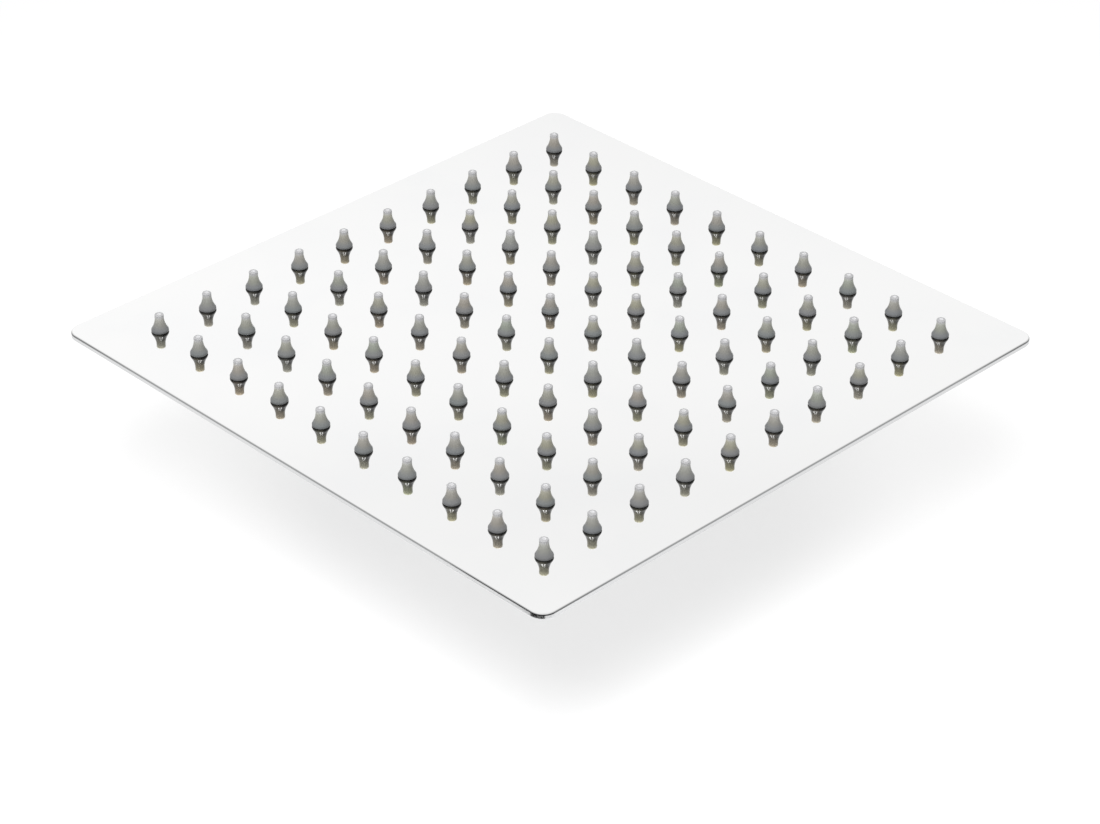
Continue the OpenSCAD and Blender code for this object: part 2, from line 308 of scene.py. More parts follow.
class Effects:
    """The node groups that several finishes share, each built once."""

    @staticmethod
    def start(
        name: str, inputs: dict[str, float], outputs: Sequence[str]
    ) -> tuple[Graph, Socket, list[Socket]]:
        """Opens a new group with float sockets and the part's own coordinates.

        Args:
            name: Name of the group.
            inputs: Names and defaults of the inputs.
            outputs: Names of the outputs.

        Returns:
            The graph, the coordinates and the inputs' sockets in order.
        """
        tree = bpy.data.node_groups.new(name, "ShaderNodeTree")
        graph = Graph(tree)
        kind = "NodeSocketFloat"
        for label, value in inputs.items():
            socket = tree.interface.new_socket(label, in_out="INPUT", socket_type=kind)
            socket.default_value = value
        for label in outputs:
            tree.interface.new_socket(label, in_out="OUTPUT", socket_type=kind)
        entry = graph.node("NodeGroupInput")
        return graph, graph.place(), list(entry.outputs)[: len(inputs)]

    @staticmethod
    def close(graph: Graph, results: Sequence[Socket]) -> bpy.types.NodeTree:
        """Joins the results to the group's outputs.

        Args:
            graph: The group's graph.
            results: One socket for each output, in order.

        Returns:
            The finished group.
        """
        leave = graph.node("NodeGroupOutput")
        for socket, result in zip(leave.inputs, results):
            graph.feed(socket, result)
        return graph.tree

    @staticmethod
    def streaks(graph: Graph, place: Socket, spacing: Socket, turn: float, stretch: float) -> Socket:
        """Draws noise that is stretched along one direction of the XY plane.

        Args:
            graph: The group's graph.
            place: The part's coordinates.
            spacing: Distance between streaks.
            turn: Angle of the streaks from X, in degrees.
            stretch: Length of a streak for each unit of its width.

        Returns:
            Noise from 0 to 1.
        """
        turned = graph.node("ShaderNodeVectorRotate", rotation_type="Z_AXIS")
        graph.feed(turned.inputs["Vector"], place)
        turned.inputs["Angle"].default_value = math.radians(-turn)
        long = graph.vector("MULTIPLY", turned.outputs[0], (1 / stretch, 1.0, 1.0)).outputs["Vector"]
        return Effects.noise(graph, long, graph.math("DIVIDE", 1.0, spacing), detail=3.0)

    @staticmethod
    def noise(
        graph: Graph, place: Socket, scale: Value, detail: float = 2.0, distortion: float = 0.0
    ) -> Socket:
        """Adds soft noise.

        Args:
            graph: The graph to draw in.
            place: The coordinates.
            scale: Patches to the metre.
            detail: How many finer layers lie on it.
            distortion: How far the patches are pulled about.

        Returns:
            Noise from 0 to 1.
        """
        made = graph.node("ShaderNodeTexNoise", normalize=True)
        graph.feed(made.inputs["Vector"], place)
        graph.feed(made.inputs["Scale"], scale)
        made.inputs["Detail"].default_value = detail
        made.inputs["Distortion"].default_value = distortion
        return made.outputs["Fac"]

    @staticmethod
    @lru_cache(maxsize=None)
    def polish_marks() -> bpy.types.NodeTree:
        """Builds sparse hairlines that cross each other, as a buffing wheel leaves them."""
        graph, place, (spacing,) = Effects.start("Polish Marks", {"Spacing": 0.4 * MM}, ("Height", "Mask"))
        one = Effects.streaks(graph, place, spacing, turn=32.0, stretch=90.0)
        other = Effects.streaks(graph, place, spacing, turn=-49.0, stretch=70.0)
        mask = graph.math("MAXIMUM", graph.span(one, 0.66, 0.78), graph.span(other, 0.68, 0.8))
        return Effects.close(graph, (graph.math("SUBTRACT", 1.0, mask), mask))

    @staticmethod
    @lru_cache(maxsize=None)
    def brush_marks() -> bpy.types.NodeTree:
        """Builds close parallel lines along X, as a belt leaves them."""
        graph, place, (spacing,) = Effects.start("Brush Marks", {"Spacing": 0.2 * MM}, ("Height", "Mask"))
        fine = Effects.streaks(graph, place, spacing, turn=0.0, stretch=120.0)
        wide = graph.math("MULTIPLY", spacing, 5.0)
        coarse = Effects.streaks(graph, place, wide, turn=1.5, stretch=60.0)
        height = graph.choose(0.3, fine, coarse)
        return Effects.close(graph, (height, graph.span(fine, 0.35, 0.7)))

    @staticmethod
    @lru_cache(maxsize=None)
    def turning_marks() -> bpy.types.NodeTree:
        """Builds fine rings round the Z axis, as a lathe tool leaves them."""
        graph, place, (spacing,) = Effects.start("Turning Marks", {"Spacing": 0.2 * MM}, ("Height", "Mask"))
        rise = graph.math("MULTIPLY", graph.parts(place).outputs["Z"], 1.3)
        feed = graph.math("ADD", graph.radius(place), rise)
        noise = graph.node("ShaderNodeTexNoise", noise_dimensions="1D", normalize=True)
        graph.feed(noise.inputs["W"], graph.math("DIVIDE", feed, spacing))
        noise.inputs["Scale"].default_value = 1.0
        noise.inputs["Detail"].default_value = 2.0
        return Effects.close(graph, (noise.outputs["Fac"], graph.span(noise.outputs["Fac"], 0.35, 0.7)))

    @staticmethod
    @lru_cache(maxsize=None)
    def surface_film() -> bpy.types.NodeTree:
        """Builds the faint uneven film that wiping and handling leave."""
        graph, place, (patch,) = Effects.start("Surface Film", {"Patch": 30 * MM}, ("Mask",))
        scale = graph.math("DIVIDE", 1.0, patch)
        broad = Effects.noise(graph, place, scale, detail=5.0, distortion=0.6)
        return Effects.close(graph, (graph.span(broad, 0.42, 0.72),))

    @staticmethod
    @lru_cache(maxsize=None)
    def moulded_grain() -> bpy.types.NodeTree:
        """Builds the fine pebbled surface of a moulded part, and its slow change of shade."""
        graph, place, (grain,) = Effects.start("Moulded Grain", {"Grain": 0.3 * MM}, ("Height", "Shade"))
        pebble = graph.node("ShaderNodeTexVoronoi", feature="SMOOTH_F1")
        graph.feed(pebble.inputs["Vector"], place)
        graph.feed(pebble.inputs["Scale"], graph.math("DIVIDE", 1.0, grain))
        shade = Effects.noise(graph, place, graph.math("DIVIDE", 0.1, grain))
        return Effects.close(graph, (pebble.outputs["Distance"], shade))


class Marks(Enum):
    """The way a metal surface was finished, which sets the fine marks left in it."""

    POLISHED = "polished"
    BRUSHED = "brushed"
    TURNED = "turned"

    def group(self) -> bpy.types.NodeTree:
        """Gives the shared effect that draws these marks."""
        makers = {
            Marks.POLISHED: Effects.polish_marks,
            Marks.BRUSHED: Effects.brush_marks,
            Marks.TURNED: Effects.turning_marks,
        }
        return makers[self]()


def new_material(name: str) -> tuple[bpy.types.Material, Graph, bpy.types.Node]:
    """Starts a material with a Principled shader joined to its output.

    Args:
        name: Name of the material.

    Returns:
        The material, its graph and the shader node.
    """
    material = bpy.data.materials.new(name)
    material.use_nodes = True
    graph = Graph(material.node_tree)
    shader = graph.node("ShaderNodeBsdfPrincipled")
    output = graph.node("ShaderNodeOutputMaterial")
    graph.feed(output.inputs["Surface"], shader.outputs["BSDF"])
    return material, graph, shader


@dataclass(frozen=True)
class MetalFinish:
    """A bare or plated metal with the marks of its last operation and a faint film."""

    name: str
    colour: Colour
    film_colour: Colour
    roughness: float
    marks: Marks
    mark_spacing: float = 0.2 * MM
    mark_depth: float = 0.001 * MM
    mark_roughness: float = 0.04
    film_roughness: float = 0.05
    film_patch: float = 30 * MM

    def colour_socket(self, graph: Graph, film: Socket) -> Socket:
        """Gives the base colour.

        Args:
            graph: The material's graph.
            film: Mask of the film.

        Returns:
            The metal's colour, a little changed under the film.
        """
        return graph.blend(film, self.colour, self.film_colour)

    def material(self) -> bpy.types.Material:
        """Builds the material."""
        material, graph, shader = new_material(self.name)
        marks = graph.effect(self.marks.group(), Spacing=self.mark_spacing)
        film = graph.effect(Effects.surface_film(), Patch=self.film_patch).outputs["Mask"]
        scratched = graph.math("MULTIPLY_ADD", marks.outputs["Mask"], self.mark_roughness, self.roughness)
        rough = graph.math("MULTIPLY_ADD", film, self.film_roughness, scratched)
        shader.inputs["Metallic"].default_value = 1.0
        graph.feed(shader.inputs["Base Color"], self.colour_socket(graph, film))
        graph.feed(shader.inputs["Roughness"], rough)
        graph.feed(shader.inputs["Normal"], graph.bump(marks.outputs["Height"], self.mark_depth))
        return material


@dataclass(frozen=True)
class HeatTintedFinish(MetalFinish):
    """A metal sheet with the straw and brown rings that a weld leaves round the Z axis."""

    tint: Colour = (0.62, 0.5, 0.36)
    tint_r: float = 17.5 * MM
    tint_reach: float = 3.5 * MM
    tint_share: float = 0.5

    def colour_socket(self, graph: Graph, film: Socket) -> Socket:
        """Gives the base colour with the tinted ring."""
        plain = super().colour_socket(graph, film)
        distance = graph.math("SUBTRACT", graph.radius(graph.place()), self.tint_r)
        away = graph.math("ABSOLUTE", distance)
        ring = graph.span(away, 0.0, self.tint_reach, self.tint_share, 0.0)
        return graph.blend(ring, plain, self.tint)


@dataclass(frozen=True)
class PlatedFinish(MetalFinish):
    """Bright plating outside, and the bare machined metal inside the inlet's bore."""

    bare_colour: Colour = (0.78, 0.6, 0.33)
    cut_colour: Colour = (0.624, 0.48, 0.264)
    bare_roughness: float = 0.24
    bore_r: float = 11.4 * MM
    bore_low: float = 0.05 * MM
    bore_top: float = 14.7 * MM

    def material(self) -> bpy.types.Material:
        """Builds the material, with the bore's mask joined to colour and roughness."""
        material, graph, shader = new_material(self.name)
        place = graph.place()
        height = graph.parts(place).outputs["Z"]
        inside = graph.math("LESS_THAN", graph.radius(place), self.bore_r)
        below_top = graph.math("LESS_THAN", height, self.bore_top)
        past_mouth = graph.math("GREATER_THAN", height, self.bore_low)
        bore = graph.math("MULTIPLY", inside, graph.math("MULTIPLY", below_top, past_mouth))
        marks = graph.effect(Marks.TURNED.group(), Spacing=self.mark_spacing)
        film = graph.effect(Effects.surface_film(), Patch=self.film_patch).outputs["Mask"]
        plated = graph.blend(film, self.colour, self.film_colour)
        bare = graph.blend(marks.outputs["Mask"], self.bare_colour, self.cut_colour)
        smooth = graph.math("MULTIPLY_ADD", film, self.film_roughness, self.roughness)
        cut = graph.math("MULTIPLY_ADD", marks.outputs["Mask"], self.mark_roughness, self.bare_roughness)
        shader.inputs["Metallic"].default_value = 1.0
        graph.feed(shader.inputs["Base Color"], graph.blend(bore, plated, bare))
        graph.feed(shader.inputs["Roughness"], graph.choose(bore, smooth, cut))
        graph.feed(shader.inputs["Normal"], graph.bump(marks.outputs["Height"], self.mark_depth))
        return material


@dataclass(frozen=True)
class MouldedFinish:
    """A moulded rubber or plastic."""

    name: str
    colour: Colour
    shade: Colour
    roughness: float
    ior: float = 1.5
    grain: float = 0.3 * MM
    grain_depth: float = 0.004 * MM
    film_patch: float = 5 * MM
    film_roughness: float = 0.1

    def material(self) -> bpy.types.Material:
        """Builds the material."""
        material, graph, shader = new_material(self.name)
        grain = graph.effect(Effects.moulded_grain(), Grain=self.grain)
        film = graph.effect(Effects.surface_film(), Patch=self.film_patch).outputs["Mask"]
        colour = graph.blend(grain.outputs["Shade"], self.colour, self.shade)
        rough = graph.math("MULTIPLY_ADD", film, self.film_roughness, self.roughness)
        graph.feed(shader.inputs["Base Color"], colour)
        graph.feed(shader.inputs["Roughness"], rough)
        graph.feed(shader.inputs["Normal"], graph.bump(grain.outputs["Height"], self.grain_depth))
        shader.inputs["IOR"].default_value = self.ior
        return material


@dataclass(frozen=True)
class SiliconeFinish:
    """Grey translucent silicone with painted light and shade, each nozzle with its own cast.

    Straight on, it is near black at the foot as painted contact shade and gets lighter towards the thin
    tip, partly from its translucency and partly as painted top light. Rays that come off the polished sheet
    meet the darker of the two ramps, a painted shade on the nozzles' mirror images. A painted glow fills
    the outlet, standing in for light that comes through the thin tip.
    """

    name: str
    face_z: float
    nozzle_h: float
    pitch: float
    outlet_r: float
    roughness: float = 0.13
    tip_roughness: float = 0.42
    dull_tip: Pair = (0.7, 0.88)
    film_roughness: float = 0.1
    film_patch: float = 3 * MM
    grain: float = 0.25 * MM
    grain_depth: float = 0.002 * MM
    ior: float = 1.41
    specular: float = 0.4
    sheen: float = 0.3
    sheen_roughness: float = 0.35
    # Strength of the painted glow in the outlet, which is no lamp.
    outlet_glow: float = 1.0
    glow_rise: Pair = (0.6, 0.9)
    # Painted shade on the mirror images: darker on the side away from the key light, fading out up the
    # nozzle.
    shaded_side: Point = (0.698, 0.716, 0.0)
    far_shade: tuple[float, float, float, float] = (-0.2 * MM, 1.4 * MM, 1.0, 0.06)
    near_shade: tuple[float, float, float, float] = (-1.8 * MM, -0.9 * MM, 0.25, 1.0)
    shade_end: Pair = (0.35, 0.6)
    foot_fade: Pair = (0.15, 0.5)
    tip_fade: Pair = (0.7, 0.95)
    tip_cast: Colour = (0.98, 0.98, 1.0)
    body_casts: tuple[Colour, ...] = (
        (1.0, 0.97, 0.76),
        (0.96, 0.97, 0.9),
        (1.0, 0.93, 0.82),
        (0.93, 1.0, 0.87),
    )
    foot_casts: tuple[Colour, ...] = ((0.9, 0.95, 1.0), (0.97, 0.98, 1.0), (0.9, 0.97, 0.98))
    # Warm casts of the painted darker mirror images.
    painted_reflection_casts: tuple[Colour, ...] = (
        (1.0, 0.94, 0.6),
        (0.95, 0.93, 0.8),
        (1.0, 0.84, 0.62),
        (0.92, 0.95, 0.66),
    )
    # Greys by height for the straight view: painted contact shade at the foot, lighter up the flare, and
    # pale towards the tip partly from translucency and partly as painted top light.
    direct: tuple[Pair, ...] = (
        (0.0, 0.02),
        (0.022, 0.045),
        (0.04, 0.125),
        (0.24, 0.158),
        (0.48, 0.228),
        (0.67, 0.305),
        (0.86, 0.43),
        (1.0, 0.32),
    )
    # Darker greys by height that rays off the sheet meet: painted shade on the nozzles' mirror images.
    mirrored: tuple[Pair, ...] = (
        (0.0, 0.03),
        (0.05, 0.05),
        (0.12, 0.045),
        (0.3, 0.04),
        (0.45, 0.085),
        (0.7, 0.15),
        (0.86, 0.27),
        (1.0, 0.55),
    )

    def pick(self, graph: Graph, cell: Socket, casts: Sequence[Colour], start: float) -> Socket:
        """Picks one colour cast for each nozzle.

        Args:
            graph: The material's graph.
            cell: Corner of the nozzle's cell in the grid.
            casts: The casts to choose between.
            start: Number that makes this choice differ from the others.

        Returns:
            The cast.
        """
        chance = graph.node("ShaderNodeTexWhiteNoise", noise_dimensions="4D")
        spread = graph.vector("MULTIPLY", cell, (997.0, 997.0, 0.0)).outputs["Vector"]
        graph.feed(chance.inputs["Vector"], spread)
        chance.inputs["W"].default_value = start
        steps = [(index / (len(casts) - 1), colour) for index, colour in enumerate(casts)]
        return graph.ramp(chance.outputs["Value"], steps)

    def direct_colour(self, graph: Graph, height: Socket, cell: Socket) -> Socket:
        """Gives the colour that is seen straight: bluish and near black at the foot as painted contact
        shade, pale at the tip partly from translucency and partly as painted top light.

        Args:
            graph: The material's graph.
            height: Height above the face as a share of the nozzle's height.
            cell: Corner of the nozzle's cell in the grid.

        Returns:
            The colour.
        """
        body = self.pick(graph, cell, self.body_casts, 1.0)
        foot = self.pick(graph, cell, self.foot_casts, 2.0)
        cast = graph.blend(graph.span(height, *self.foot_fade), foot, body)
        cast = graph.blend(graph.span(height, *self.tip_fade), cast, self.tip_cast)
        return graph.blend(1.0, graph.shades(height, self.direct), cast, "MULTIPLY")

    def painted_reflection_colour(self, graph: Graph, height: Socket, cell: Socket, offset: Socket) -> Socket:
        """Gives the painted darker colour of the nozzles' mirror images, darkest on the side away from the
        key light.

        Args:
            graph: The material's graph.
            height: Height above the face as a share of the nozzle's height.
            cell: Corner of the nozzle's cell in the grid.
            offset: Place from the nozzle's axis.

        Returns:
            The colour.
        """
        cast = self.pick(graph, cell, self.painted_reflection_casts, 3.0)
        mirrored = graph.blend(1.0, graph.shades(height, self.mirrored), cast, "MULTIPLY")
        sideways = graph.vector("DOT_PRODUCT", offset, self.shaded_side).outputs["Value"]
        far, near = graph.span(sideways, *self.far_shade), graph.span(sideways, *self.near_shade)
        lit = graph.math("MAXIMUM", graph.math("MULTIPLY", far, near), graph.span(height, *self.shade_end))
        return graph.blend(1.0, mirrored, lit, "MULTIPLY")

    def material(self) -> bpy.types.Material:
        """Builds the material."""
        material, graph, shader = new_material(self.name)
        place = graph.place()
        above = graph.math("SUBTRACT", graph.parts(place).outputs["Z"], self.face_z)
        height = graph.math("DIVIDE", above, self.nozzle_h)
        flat = graph.flat(place)
        cell = graph.vector("SNAP", flat, (self.pitch, self.pitch, 1.0)).outputs["Vector"]
        middle = graph.vector("ADD", cell, (self.pitch / 2, self.pitch / 2, 0.0)).outputs["Vector"]
        offset = graph.vector("SUBTRACT", flat, middle).outputs["Vector"]
        from_axis = graph.vector("LENGTH", offset).outputs["Value"]
        direct = self.direct_colour(graph, height, cell)
        mirrored = self.painted_reflection_colour(graph, height, cell, offset)
        # Painted shade: rays that come off the sheet take the darker colour, so the mirror images are
        # darker than the nozzles.
        path = graph.node("ShaderNodeLightPath")
        colour = graph.blend(path.outputs["Is Glossy Ray"], direct, mirrored)
        grain = graph.effect(Effects.moulded_grain(), Grain=self.grain)
        film = graph.effect(Effects.surface_film(), Patch=self.film_patch).outputs["Mask"]
        # Painted glow: the outlet's walls emit the straight colour, standing in for light that comes
        # through the thin tip.
        outlet = graph.math("LESS_THAN", from_axis, self.outlet_r)
        glow = graph.math("MULTIPLY", outlet, graph.span(height, *self.glow_rise, 0.0, self.outlet_glow))
        matt = graph.span(height, *self.dull_tip, self.roughness, self.tip_roughness)
        rough = graph.math("MULTIPLY_ADD", film, self.film_roughness, matt)
        graph.feed(shader.inputs["Base Color"], colour)
        graph.feed(shader.inputs["Roughness"], rough)
        graph.feed(shader.inputs["Normal"], graph.bump(grain.outputs["Height"], self.grain_depth))
        graph.feed(shader.inputs["Emission Color"], direct)
        graph.feed(shader.inputs["Emission Strength"], glow)
        shader.inputs["IOR"].default_value = self.ior
        shader.inputs["Specular IOR Level"].default_value = self.specular
        shader.inputs["Sheen Weight"].default_value = self.sheen
        shader.inputs["Sheen Roughness"].default_value = self.sheen_roughness
        return material


@dataclass(frozen=True)
class MirrorSheetFinish:
    """Mirror-polished steel sheet with faint waviness, buffing hairlines and a painted dark reflection on
    its rounded edge.
    """

    name: str
    side: float
    corner_r: float = 4.5 * MM
    edge_w: float = 0.12 * MM
    edge_blur: float = 0.06 * MM
    # Colours of the painted dark reflection on the edge, along the sides and at the corners.
    edge_painted_reflection: Colour = (0.41, 0.415, 0.42)
    corner_painted_reflection: Colour = (0.21, 0.212, 0.215)
    corner_fade: float = 40 * MM
    colour: Colour = (0.97, 0.97, 0.968)
    film_colour: Colour = (0.955, 0.957, 0.96)
    film_patch: float = 40 * MM
    film_roughness: float = 0.02
    roughness: float = 0.03
    wave_length: float = 22 * MM
    wave_depth: float = 0.012 * MM
    hairline_spacing: float = 0.35 * MM
    hairline_depth: float = 0.00002 * MM
    hairline_roughness: float = 0.03

    def edge(self, graph: Graph, place: Socket, sheet: Socket) -> Socket:
        """Lays a darker colour on the rounded edge over the sheet's, a painted dark reflection that is
        darkest at the corners.

        Args:
            graph: The material's graph.
            place: The part's coordinates.
            sheet: The polished sheet's colour.

        Returns:
            The colour of sheet and edge.
        """
        half = self.side / 2
        reach = half - self.corner_r
        mirrored = graph.vector("ABSOLUTE", graph.flat(place)).outputs["Vector"]
        apart = graph.parts(mirrored)
        along = graph.math("MINIMUM", apart.outputs["X"], apart.outputs["Y"])
        dark = graph.span(along, half - self.corner_fade, half)
        # Painted dark reflection on the edge, darkest towards the corners.
        painted_dark_reflection = graph.blend(dark, self.edge_painted_reflection, self.corner_painted_reflection)
        past = graph.vector("SUBTRACT", mirrored, (reach, reach, 0.0)).outputs["Vector"]
        outward = graph.vector("MAXIMUM", past).outputs["Vector"]
        distance = graph.vector("LENGTH", outward).outputs["Value"]
        inner = self.corner_r - self.edge_w
        shown = graph.span(distance, inner - self.edge_blur, inner + self.edge_blur)
        return graph.blend(shown, sheet, painted_dark_reflection)

    def material(self) -> bpy.types.Material:
        """Builds the material."""
        material, graph, shader = new_material(self.name)
        marks = graph.effect(Effects.polish_marks(), Spacing=self.hairline_spacing)
        film = graph.effect(Effects.surface_film(), Patch=self.film_patch).outputs["Mask"]
        place = graph.place()
        wave = Effects.noise(graph, place, 1 / self.wave_length, detail=1.0)
        wavy = graph.bump(wave, self.wave_depth)
        sheet = graph.blend(film, self.colour, self.film_colour)
        lined = graph.math("MULTIPLY_ADD", marks.outputs["Mask"], self.hairline_roughness, self.roughness)
        rough = graph.math("MULTIPLY_ADD", film, self.film_roughness, lined)
        shader.inputs["Metallic"].default_value = 1.0
        graph.feed(shader.inputs["Base Color"], self.edge(graph, place, sheet))
        graph.feed(shader.inputs["Roughness"], rough)
        hairlines = graph.bump(marks.outputs["Height"], self.hairline_depth, wavy)
        graph.feed(shader.inputs["Normal"], hairlines)
        return material


def cad_node(name: str) -> bpy.types.Object:
    """Gives a CAD node's object by its name."""
    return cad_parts[name]


def dress(piece: bpy.types.Object, material: bpy.types.Material) -> None:
    """Gives every material slot of a piece one material.

    Args:
        piece: The object to dress.
        material: Its new material.
    """
    if not piece.material_slots:
        piece.data.materials.append(material)
    for slot in piece.material_slots:
        slot.material = material


def new_piece(
    name: str,
    points: Sequence[Point],
    faces: Sequence[Sequence[int]],
    material: bpy.types.Material,
    sharp: float = 35.0,
) -> bpy.types.Object:
    """Makes an object from points and faces.

    Args:
        name: Name of the piece.
        points: Its vertices.
        faces: Its faces, as indices of vertices.
        material: Its material.
        sharp: Edges that turn by more than this angle, in degrees, stay sharp.

    Returns:
        The new object.
    """
    mesh = bpy.data.meshes.new(name)
    mesh.from_pydata([tuple(point) for point in points], [], [tuple(face) for face in faces])
    mesh.validate()
    mesh.shade_smooth()
    mesh.set_sharp_from_angle(angle=math.radians(sharp))
    mesh.materials.append(material)
    piece = bpy.data.objects.new(name, mesh)
    bpy.context.scene.collection.objects.link(piece)
    return piece


def round_edges(piece: bpy.types.Object, width: float, sharp: float = 38.0) -> None:
    """Rounds a piece's sharp edges with a modifier.

    Args:
        piece: The object.
        width: Width of the rounding.
        sharp: Edges that turn by more than this angle, in degrees, are rounded.
    """
    bevel = piece.modifiers.new("Rounded edges", "BEVEL")
    bevel.width = width
    bevel.segments = 2
    bevel.limit_method = "ANGLE"
    bevel.angle_limit = math.radians(sharp)
    bevel.harden_normals = True
    bevel.use_clamp_overlap = True


def arc(centre: Pair, radius: float, start: float, end: float, steps: int) -> list[Pair]:
    """Gives points along an arc of a profile.

    Args:
        centre: Centre, as distance from the axis and height.
        radius: Radius of the arc.
        start: Angle of the first point, in degrees.
        end: Angle of the last point, in degrees.
        steps: Number of spans.

    Returns:
        The points, first and last included.
    """
    angles = [math.radians(start + (end - start) * step / steps) for step in range(steps + 1)]
    return [(centre[0] + radius * math.cos(a), centre[1] + radius * math.sin(a)) for a in angles]


def round_axis(radius: float, angle: float, height: float) -> Point:
    """Gives the point at a distance and an angle in radians round the Z axis."""
    return radius * math.cos(angle), radius * math.sin(angle), height


def skin(sections: int, count: int, closed: bool) -> list[list[int]]:
    """Lays faces along a row of sections that were added one after another.

    Args:
        sections: Number of sections.
        count: Number of points in each section.
        closed: Whether the last section joins the first.

    Returns:
        The faces, as indices of points.
    """
    faces = []
    for step in range(sections if closed else sections - 1):
        there = (step + 1) % sections
        for index in range(count):
            beside = (index + 1) % count
            corners = (step, beside), (step, index), (there, index), (there, beside)
            faces.append([section * count + point for section, point in corners])
    return faces


@dataclass
class SprayPlate:
    """The polished front sheet, whose CAD solid already has its true form."""

    node: str = "spray_plate"

    def build(self) -> list[bpy.types.Object]:
        """Dresses the sheet."""
        low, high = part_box(self.node)
        piece = cad_node(self.node)
        dress(piece, MirrorSheetFinish("polished_sheet", high.x - low.x).material())
        return [piece]

    def face_z(self) -> float:
        """Gives the height of the polished face."""
        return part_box(self.node)[1].z


@dataclass
class NozzleForm:
    """Sizes and section of one silicone nozzle, with the face of the sheet at height 0."""

    height: float = 5.6 * MM
    bell_r: float = 2.6 * MM
    tip_r: float = 1.33 * MM
    tip_straight: float = 0.9 * MM
    foot_round: float = 0.35 * MM
    shoulder_round: float = 1.2 * MM
    tip_round: float = 0.32 * MM
    neck_r: float = 1.8 * MM
    sheet_t: float = 0.6 * MM
    flange_r: float = 2.9 * MM
    flange_t: float = 0.45 * MM
    outlet_r: float = 0.4 * MM
    outlet_l: float = 1.5 * MM
    outlet_chamfer: float = 0.12 * MM
    channel_r: float = 1.1 * MM

    def section(self) -> list[Pair]:
        """Gives the closed profile, anticlockwise from the inner foot of the flange."""
        foot = -self.sheet_t - self.flange_t
        flare_end = self.height - self.tip_straight
        flare_h = flare_end - self.foot_round
        step_in = self.bell_r - self.tip_r
        flare_arcs = (step_in**2 + flare_h**2) / (2 * step_in)
        flare_r = flare_arcs - self.shoulder_round
        rise = math.degrees(math.asin(flare_h / flare_arcs))
        points = [(self.channel_r, foot), (self.flange_r, foot), (self.flange_r, -self.sheet_t)]
        points += [(self.neck_r, -self.sheet_t), (self.neck_r, 0.0)]
        foot_centre = (self.bell_r - self.foot_round, self.foot_round)
        points += arc(foot_centre, self.foot_round, -90, 0, 6)
        shoulder_centre = (self.bell_r - self.shoulder_round, self.foot_round)
        points += arc(shoulder_centre, self.shoulder_round, 0, rise, 9)[1:]
        points += arc((self.tip_r + flare_r, flare_end), flare_r, 180 + rise, 180, 14)[1:]
        tip_centre = (self.tip_r - self.tip_round, self.height - self.tip_round)
        points += arc(tip_centre, self.tip_round, 0, 90, 5)
        points += [(self.outlet_r + self.outlet_chamfer, self.height)]
        points += [(self.outlet_r, self.height - self.outlet_chamfer)]
        points += [(self.outlet_r, self.height - self.outlet_l), (self.channel_r, self.foot_round)]
        return points


@dataclass
class NozzleGrid:
    """The hundred nozzles, one piece to each row along X."""

    face_z: float
    rows: int = 10
    columns: int = 10
    segments: int = 48
    lean: float = 0.13 * MM
    seed: int = 11
    form: NozzleForm = field(default_factory=NozzleForm)

    def node(self, row: int) -> str:
        """Gives the CAD node's name of a row counted from 1."""
        return f"nozzle_row_{row}"

    def centres(self, row: int) -> list[Pair]:
        """Gives the places of a row's nozzles, worked out from the row's box.

        Args:
            row: The row, counted from 1.

        Returns:
            The axes of the nozzles in X and Y.
        """
        low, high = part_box(self.node(row))
        start, end = low.x + self.form.flange_r, high.x - self.form.flange_r
        step = (end - start) / (self.columns - 1)
        return [(start + step * column, (low.y + high.y) / 2) for column in range(self.columns)]

    def pitch(self) -> float:
        """Gives the distance between neighbouring nozzles."""
        first, second = self.centres(1)[:2]
        return second[0] - first[0]

    def nozzle(self, axis: Pair, lean: Pair, first: int) -> tuple[list[Point], list[list[int]]]:
        """Makes one nozzle's vertices and faces.

        Args:
            axis: Place of its axis.
            lean: How far its tip leans in X and Y.
            first: Index of its first vertex.

        Returns:
            The vertices and the faces.
        """
        section = self.form.section()
        points: list[Point] = []
        for radius, height in section:
            share = max(0.0, height / self.form.height) ** 2
            for segment in range(self.segments):
                angle = 2 * math.pi * segment / self.segments
                x = axis[0] + radius * math.cos(angle) + lean[0] * share
                y = axis[1] + radius * math.sin(angle) + lean[1] * share
                points.append((x, y, self.face_z + height))
        faces = []
        for ring in range(len(section)):
            above = (ring + 1) % len(section)
            for segment in range(self.segments):
                beside = (segment + 1) % self.segments
                corners = (ring, segment), (ring, beside), (above, beside), (above, segment)
                faces.append([first + r * self.segments + s for r, s in corners])
        return points, faces

    def build(self) -> list[bpy.types.Object]:
        """Builds the rows, each in place of its CAD node."""
        outlet_r = self.form.outlet_r + self.form.outlet_chamfer / 2 + self.lean
        finish = SiliconeFinish("nozzle_silicone", self.face_z, self.form.height, self.pitch(), outlet_r)
        silicone = finish.material()
        chance = random.Random(self.seed)
        pieces = []
        for row in range(1, self.rows + 1):
            points: list[Point] = []
            faces: list[list[int]] = []
            for axis in self.centres(row):
                angle = chance.uniform(0, 2 * math.pi)
                amount = self.lean * chance.random() ** 1.5
                tip = (amount * math.cos(angle), amount * math.sin(angle))
                more_points, more_faces = self.nozzle(axis, tip, len(points))
                points += more_points
                faces += more_faces
            piece = new_piece(f"silicone_row_{row:02d}", points, faces, silicone)
            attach(piece, "head")
            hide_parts(self.node(row))
            pieces.append(piece)
        return pieces


